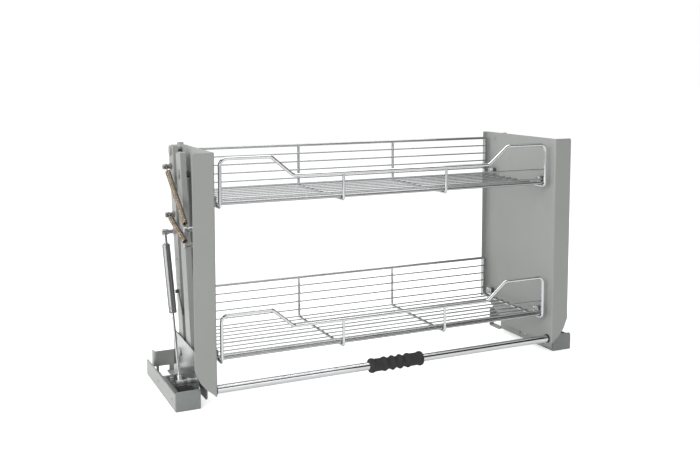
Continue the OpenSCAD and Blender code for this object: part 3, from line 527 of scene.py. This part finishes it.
class SHELF_OT_plate_hardware(bpy.types.Operator):
    """Finishes the pivot plates, pins, posts, dark metal, spacers, bushes and bracket caps."""

    bl_idname = "shelf.plate_hardware"
    bl_label = "Plate hardware"

    def execute(self, context):
        finishes, pieces = context.scene.shelf_finishes, context.scene.shelf_pieces
        coat = bpy.data.materials["grey_coat"]
        zinc = bright_zinc("zinc_plate", finishes.zinc)
        for node in nodes_of("zinc_plate"):
            rounded_copy(node, pieces.sheet_edge, zinc)
        steel = turned_steel("steel", finishes.steel)
        # Painted shade: the posts take a darker copy of the steel, for the shade they stand in
        # between the panels and arms.
        steel_painted_shade = turned_steel("steel_painted_shade", shade(finishes.steel, 0.6))
        for node in nodes_of("steel", without=("plate_screws", "basket_screws")):
            if node in ("top_pins", "panel_spring_posts"):
                rounded_copy(node, pieces.pin_edge, steel, coat, inner_x=PANEL_MIDDLE)
            else:
                rounded_copy(node, pieces.pin_edge, steel_painted_shade if "_posts" in node else steel)
        give(nodes_of("dark_metal"), blackened_metal("dark_metal", finishes.dark))
        give(nodes_of("nylon"), moulded_plastic("nylon", finishes.nylon))
        give(nodes_of("grey_nylon"), moulded_plastic("grey_nylon", finishes.bush))
        cap_plastic = moulded_plastic("grey_cap", shade(finishes.cap, 1.12))
        rounded_copy("bracket_caps", pieces.cap_edge, cap_plastic)
        return {"FINISHED"}


def screw_corners(node, across):
    """The lowest and highest corner of each screw of a node, told apart across their axis."""
    screws = []
    for vertex in NODES[node].data.vertices:
        here = Vector([vertex.co[i] for i in across] + [math.copysign(1, vertex.co.x)])
        for first, points in screws:
            if (first - here).length < SCREW_REACH:
                points.append(vertex.co)
                break
        else:
            screws.append((here, [vertex.co]))
    return [
        [Vector([pick(point[i] for point in points) for i in range(3)]) for pick in (min, max)]
        for _, points in screws
    ]


def head_line(seat, rise, radius, socket):
    """Half outline of a domed screw head from its seat to the bottom of its socket."""
    rim, dome_steps = 0.3, 5
    line = [(radius, seat)]
    for i in range(dome_steps + 1):
        angle = math.radians(90 * i / dome_steps)
        out = socket + (radius - socket) * math.cos(angle)
        line.append((out, seat + rise * (rim + (1 - rim) * math.sin(angle))))
    return line + [(socket * 0.9, seat + rise * 0.35), (0, seat + rise * rim)]


def screw_line(span, radius, socket, two_heads):
    """Half outline of a screw with a domed head at its far end, or one at each end."""
    head = shank = radius / HEAD_TO_SHANK
    line = [(0, 0), (shank, 0)]
    if two_heads:
        line = head_line(head, -head, radius, socket)[::-1] + [(shank, head)]
    return line + [(shank, span - head)] + head_line(span - head, head, radius, socket)


class SHELF_OT_drive_screws(bpy.types.Operator):
    """Turns a screw for the plates and a double-headed one for the baskets and copies them."""

    bl_idname = "shelf.drive_screws"
    bl_label = "Drive screws"

    def execute(self, context):
        socket = context.scene.shelf_pieces.socket
        steel = bpy.data.materials["steel"]
        for node, axis, body in (("plate_screws", 2, "base"), ("basket_screws", 0, "shelf")):
            across = [i for i in range(3) if i != axis]
            along = Vector([float(i == axis) for i in range(3)])
            shape = None
            for number, (low, high) in enumerate(screw_corners(node, across)):
                name = f"{node}_{number}"
                if shape is None:
                    size = high - low
                    radius = size[across[0]] / 2
                    outline = screw_line(size[axis], radius, socket, two_heads=body == "shelf")
                    piece = turned(name, steel, outline, steps=24)
                    shape = piece.data.copy()
                else:
                    piece = bpy.data.objects.new(name, shape.copy())
                    bpy.context.scene.collection.objects.link(piece)
                foot = (low + high) / 2
                foot[axis] = low[axis]
                stand(piece, foot, along)
                bpy.ops.object.shade_smooth_by_angle(angle=CRISP)
                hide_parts(node)
                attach(piece, body)
        return {"FINISHED"}


class SHELF_OT_chrome_wires(bpy.types.Operator):
    """Chromes the baskets and the handle tube, the thin wires in a darker copy of the chrome as
    painted shade.
    """

    bl_idname = "shelf.chrome_wires"
    bl_label = "Chrome wires"

    def execute(self, context):
        finishes = context.scene.shelf_finishes
        thin = [node for node in nodes_of("chrome_wire") if node.endswith(("_wires", "_rails"))]
        chrome = polished_chrome("chrome_wire", finishes.chrome)
        give(nodes_of("chrome_wire", without=thin), chrome)
        # Painted shade: the thin wires take a darker copy of the hoops' chrome.
        shaded_thin_chrome = shade(finishes.chrome, finishes.thin_wire_shade)
        give(thin, polished_chrome("thin_wire_shade", shaded_thin_chrome, rough=0.1))
        return {"FINISHED"}


def reach_along(node, foot, along):
    """The lowest and highest place of a CAD node along an axis and its widest distance from it."""
    points = [vertex.co - foot for vertex in NODES[node].data.vertices]
    heights = [point.dot(along) for point in points]
    widths = [(point - along * height).length for point, height in zip(points, heights)]
    return min(heights), max(heights), max(widths)


def cylinder_line(low, high, wide, rim, shoulder):
    """Half outline of a gas cylinder, open inside, with a rolled rim, a groove and a shoulder."""
    bore, end_wall, seal = wide - 1.4 * MM, 5 * MM, 2.9 * MM
    groove_up, groove_out, groove_radius = 9 * MM, 1.2 * MM, 1.7 * MM
    line = [(0, high - end_wall), (bore, high - end_wall), (bore, low + end_wall)]
    line += [(seal, low + end_wall), (seal, low)]
    line += arc((wide - rim, low + rim), rim, -90, 0)
    line += arc((wide + groove_out, low + groove_up), groove_radius, 225, 135)
    line += arc((wide - shoulder, high - shoulder), shoulder, 0, 90)
    return line + [(0, high)]


class SHELF_OT_dress_struts(bpy.types.Operator):
    """Turns the gas struts' cylinders with a shoulder and a rolled rim, and plates their rods."""

    bl_idname = "shelf.dress_struts"
    bl_label = "Dress gas struts"

    def execute(self, context):
        finishes, pieces = context.scene.shelf_finishes, context.scene.shelf_pieces
        lacquer = strut_lacquer("strut_paint", finishes.strut)
        give(nodes_of("strut_rod"), polished_chrome("strut_rod", finishes.rod, rough=0.12))
        for side in SIDES:
            foot = Vector(JOINTS[f"{side}_strut_swing"]["pos_m"])
            along = Vector(JOINTS[f"{side}_strut_stroke"]["axis"]).normalized()
            reach = reach_along(f"{side}_strut_cylinder", foot, along)
            outline = cylinder_line(*reach, pieces.rolled_end, pieces.shoulder)
            cylinder = turned(f"{side}_strut_tube", lacquer, outline)
            stand(cylinder, foot, along)
            bpy.ops.object.shade_smooth_by_angle(angle=CRISP)
            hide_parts(f"{side}_strut_cylinder")
            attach(cylinder, f"{side}_strut_upper")
        return {"FINISHED"}


def spring_line(side, level):
    """A spring's start, its direction, the distance to its far eye and the eye's radius."""
    start = Vector(JOINTS[f"{side}_{level}_spring_swing"]["pos_m"])
    along = Vector(JOINTS[f"{side}_{level}_spring_stretch"]["axis"]).normalized()
    across = Vector((1, 0, 0)).cross(along)
    eye = [vertex.co - start for vertex in NODES[f"{side}_{level}_spring_eye"].data.vertices]
    eye_radius = max(abs(point.dot(across)) for point in eye)
    return start, along, max(point.dot(along) for point in eye) - eye_radius, eye_radius


def spring_points(reach, coil_radius, wire, pitch, eye_radius):
    """The centre line of a wound wire: an eye in its own plane, a shank, close turns, a shank."""
    eye_steps, eye_start = 20, 15
    turn_steps, run_in = 14, 0.75
    points = []
    for i in range(eye_steps):
        angle = math.radians(eye_start + (360 - eye_start) * i / eye_steps)
        points.append((0, eye_radius * math.sin(angle), eye_radius * math.cos(angle)))
    wound = reach - 2 * SPRING_SHANK
    turns = wound / pitch
    steps = round(turns * turn_steps)
    points.append((0, 0, SPRING_SHANK - wire))
    for i in range(steps + 1):
        turn = turns * i / steps
        swell = min(1, turn / run_in, (turns - turn) / run_in)
        radius = coil_radius * math.sin(swell * math.pi / 2)
        angle = math.tau * turn
        height = SPRING_SHANK + wound * i / steps
        points.append((radius * math.cos(angle), radius * math.sin(angle), height))
    points.append((0, 0, reach - SPRING_SHANK + wire))
    return points


class SHELF_OT_wind_springs(bpy.types.Operator):
    """Winds the close-coiled springs between the panels' and the arms' posts."""

    bl_idname = "shelf.wind_springs"
    bl_label = "Wind springs"

    def execute(self, context):
        pieces, finishes = context.scene.shelf_pieces, context.scene.shelf_finishes
        metal = oiled_spring("spring_steel", finishes.spring)
        give(nodes_of("spring_steel"), metal)
        wire = pieces.spring_wire
        coil_radius = (pieces.spring_coil - wire) / 2
        for side in SIDES:
            for level in SPRING_LEVELS:
                start, along, reach, eye_outer = spring_line(side, level)
                eye_radius = eye_outer - wire / 2
                line = spring_points(reach, coil_radius, wire, pieces.spring_pitch, eye_radius)
                deselect()
                bpy.ops.curve.primitive_nurbs_path_add()
                curve = bpy.context.object
                curve.data.splines.clear()
                spline = curve.data.splines.new("POLY")
                spline.points.add(len(line) - 1)
                for point, place in zip(spline.points, line):
                    point.co = (*place, 1)
                curve.data.bevel_depth = wire / 2
                curve.data.bevel_resolution = 1
                curve.data.use_fill_caps = True
                curve.data.twist_mode = "MINIMUM"
                bpy.ops.object.convert(target="MESH")
                coil = made(f"{side}_{level}_close_coil", metal)
                stand(coil, start, along)
                bpy.ops.object.shade_smooth_by_angle(angle=SOFT)
                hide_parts(f"{side}_{level}_spring")
                start + along * SPRING_SHANK
                start + along * (reach - SPRING_SHANK)
                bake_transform(coil)
        return {"FINISHED"}


def grip_radius(pieces, along):
    """The grip's radius at a place: four rings in the middle, plain ends, a bead at each end."""
    from_middle = abs(along)
    bead, crown = 12 * MM, 0.55
    if from_middle < 2 * pieces.grip_pitch:
        wave = abs(math.cos(math.pi * (from_middle / pieces.grip_pitch - 0.5))) ** 3
        between_rings = from_middle < 1.5 * pieces.grip_pitch
        valley = pieces.grip_valley if between_rings else pieces.grip_core
        return valley + (pieces.grip_crest - valley) * wave
    into_bead = max(0, 1 - (pieces.grip_half - from_middle) / bead)
    if into_bead < crown:
        swell = math.sin(math.pi / 2 * into_bead / crown) ** 2
    else:
        past_crown = (into_bead - crown) / (1 - crown)
        swell = 1 - 1.5 * (1 - math.sqrt(max(0, 1 - past_crown**2)))
    return pieces.grip_core + (pieces.grip_crest - pieces.grip_core) * swell


class SHELF_OT_mould_grip(bpy.types.Operator):
    """Moulds the ringed grip and gives it, the grommets and the buffers their rubber skin."""

    bl_idname = "shelf.mould_grip"
    bl_label = "Mould grip"

    def execute(self, context):
        finishes, pieces = context.scene.shelf_finishes, context.scene.shelf_pieces
        rubber = foam_rubber("rubber", finishes.rubber)
        give(nodes_of("rubber"), rubber)
        low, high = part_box("handle_bar")
        middle, play = (low + high) / 2, 0.1 * MM
        bore = (high.z - low.z) / 2 + play
        steps = 120
        outline = [(bore, pieces.grip_half), (bore, -pieces.grip_half)]
        for i in range(steps + 1):
            along = (2 * i / steps - 1) * pieces.grip_half
            outline.append((grip_radius(pieces, along), along))
        outline.append(outline[0])
        grip = turned("ringed_grip", rubber, outline)
        stand(grip, Vector((0, middle.y, middle.z)), Vector((1, 0, 0)))
        bpy.ops.object.shade_smooth_by_angle(angle=SOFT)
        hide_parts("handle_grip")
        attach(grip, "shelf")
        return {"FINISHED"}


# Stage

MIDDLE = (0, 0, 0.2)
# Each lamp's name, place, aim, width and height, and power in watts.
LAMPS = (
    ("key_softbox", (-2.8, -0.9, 1.35), MIDDLE, (3.2, 1.8), 66),
    ("fill_softbox", (0.6, -3.0, 1.0), MIDDLE, (1.2, 1.0), 5),
    ("top_softbox", (0.0, 0.4, 2.8), (0, 0.1, 0), (3.2, 1.5), 44),
)
FLOOR_SIZE = 40
FLOOR_PAPER = (0.85, 0.85, 0.85)
SENSOR_WIDTH = 36


def floor_paper(name, rgb, glow, mirrored):
    """A pale paper that the camera and mirrors see a little brighter, with its shadows kept."""
    finish = Finish(name, {"Base Color": (*rgb, 1), "Roughness": 0.9, "Specular IOR Level": 0.1})
    seen = glow * finish.node("ShaderNodeLightPath", output="Is Camera Ray")
    seen = seen + mirrored * finish.node("ShaderNodeLightPath", output="Is Glossy Ray")
    seen = seen + mirrored * finish.node("ShaderNodeLightPath", output="Is Transmission Ray")
    nodes, links = finish.tree.nodes, finish.tree.links
    glowing = nodes.new("ShaderNodeEmission")
    links.new(seen.socket, glowing.inputs["Strength"])
    both = nodes.new("ShaderNodeAddShader")
    links.new(finish.shader.outputs[0], both.inputs[0])
    links.new(glowing.outputs[0], both.inputs[1])
    links.new(both.outputs[0], nodes["Material Output"].inputs["Surface"])
    return finish.material


def light_world(scene, strength):
    """A white world that lights with a strength and that the camera and mirrors see as white."""
    world = scene.world = bpy.data.worlds.new("studio_world")
    world.use_nodes = True
    nodes, links = world.node_tree.nodes, world.node_tree.links
    light_path = nodes.new("ShaderNodeLightPath")
    seen = light_path.outputs["Is Camera Ray"]
    for ray in ("Is Glossy Ray", "Is Transmission Ray"):
        either = nodes.new("ShaderNodeMath")
        either.operation = "MAXIMUM"
        links.new(seen, either.inputs[0])
        links.new(light_path.outputs[ray], either.inputs[1])
        seen = either.outputs[0]
    level = nodes.new("ShaderNodeMapRange")
    level.inputs["To Min"].default_value = strength
    level.inputs["To Max"].default_value = 1.0
    links.new(seen, level.inputs["Value"])
    background = nodes["Background"]
    background.inputs["Color"].default_value = (1, 1, 1, 1)
    links.new(level.outputs[0], background.inputs["Strength"])


def softbox(name, place, aim, size, power):
    """A rectangular area lamp that looks at a point."""
    deselect()
    bpy.ops.object.light_add(type="AREA", location=place)
    lamp = bpy.context.object
    lamp.name = name
    lamp.data.shape = "RECTANGLE"
    lamp.data.size, lamp.data.size_y = size
    lamp.data.energy = power
    lamp.rotation_euler = (Vector(aim) - Vector(place)).to_track_quat("-Z", "Y").to_euler()


def horizon_screen(name, radius, low, high, last):
    """A dark screen round the set, open past an angle in degrees, that only mirrors see.

    It gives the chrome its dark lines."""
    deselect()
    bpy.ops.mesh.primitive_circle_add(vertices=96, radius=radius, location=(0, 0, low))
    screen = bpy.context.object
    screen.name = name
    bpy.ops.object.mode_set(mode="EDIT")
    bpy.ops.mesh.extrude_region_move(TRANSFORM_OT_translate={"value": (0, 0, high - low)})
    bpy.ops.mesh.select_all(action="DESELECT")
    mesh = bmesh.from_edit_mesh(screen.data)
    for face in mesh.faces:
        centre = face.calc_center_median()
        face.select_set(math.degrees(math.atan2(centre.y, centre.x)) % 360 > last)
    bmesh.update_edit_mesh(screen.data)
    bpy.ops.mesh.delete(type="FACE")
    bpy.ops.object.mode_set(mode="OBJECT")
    fixed = {"Base Color": (0.03, 0.03, 0.03, 1), "Roughness": 1, "Specular IOR Level": 0}
    screen.data.materials.append(Finish(name, fixed).material)
    screen.visible_camera = screen.visible_diffuse = screen.visible_shadow = False
    screen.visible_transmission = False


class SHELF_OT_set_stage(bpy.types.Operator):
    """Sets the pale floor, the soft light and the camera."""

    bl_idname = "shelf.set_stage"
    bl_label = "Set stage"

    def execute(self, context):
        stage, scene = context.scene.shelf_stage, context.scene
        deselect()
        bpy.ops.mesh.primitive_plane_add(size=FLOOR_SIZE)
        floor = bpy.context.object
        floor.name = "studio_floor"
        paper = floor_paper("floor_paper", FLOOR_PAPER, stage.floor_glow, stage.floor_mirrored)
        floor.data.materials.append(paper)
        light_world(scene, stage.world_light)
        for lamp in LAMPS:
            softbox(*lamp)
        horizon_screen("horizon_screen", radius=3.7, low=1.0, high=4.3, last=336)
        bpy.ops.object.camera_add(location=stage.camera_place)
        camera = bpy.context.object
        camera.name = "photo_camera"
        camera.rotation_euler = (math.pi / 2 - stage.camera_tilt, 0, stage.camera_turn)
        camera.data.lens = stage.lens
        camera.data.sensor_width = SENSOR_WIDTH
        camera.data.shift_y = stage.camera_shift
        scene.camera = camera
        scene.view_settings.view_transform = "Standard"
        return {"FINISHED"}


class SHELF_PT_panel(bpy.types.Panel):
    """The shelf's operators and settings in the 3D view's sidebar."""

    bl_label = "Pull-down shelf"
    bl_space_type = "VIEW_3D"
    bl_region_type = "UI"
    bl_category = "Shelf"

    def draw(self, context):
        for group in SETTINGS:
            settings = getattr(context.scene, group)
            box = self.layout.box()
            for name in settings.bl_rna.properties.keys():
                if name not in ("rna_type", "name"):
                    box.prop(settings, name)
        for operator in OPERATORS:
            self.layout.operator(operator.bl_idname)


SETTINGS = {
    "shelf_finishes": ShelfFinishSettings,
    "shelf_pieces": ShelfPieceSettings,
    "shelf_stage": ShelfStageSettings,
}
OPERATORS = (
    SHELF_OT_coat_sheet_metal,
    SHELF_OT_plate_hardware,
    SHELF_OT_drive_screws,
    SHELF_OT_chrome_wires,
    SHELF_OT_dress_struts,
    SHELF_OT_wind_springs,
    SHELF_OT_mould_grip,
    SHELF_OT_set_stage,
)


def register():
    for shelf_class in (*SETTINGS.values(), *OPERATORS, SHELF_PT_panel):
        bpy.utils.register_class(shelf_class)
    for name, group in SETTINGS.items():
        setattr(bpy.types.Scene, name, bpy.props.PointerProperty(type=group))


def unregister():
    for name in SETTINGS:
        delattr(bpy.types.Scene, name)
    for shelf_class in (*SETTINGS.values(), *OPERATORS, SHELF_PT_panel):
        bpy.utils.unregister_class(shelf_class)


def main():
    register()
    for operator in OPERATORS:
        getattr(bpy.ops.shelf, operator.bl_idname.split(".")[1])()


if __name__ == "__main__":
    main()
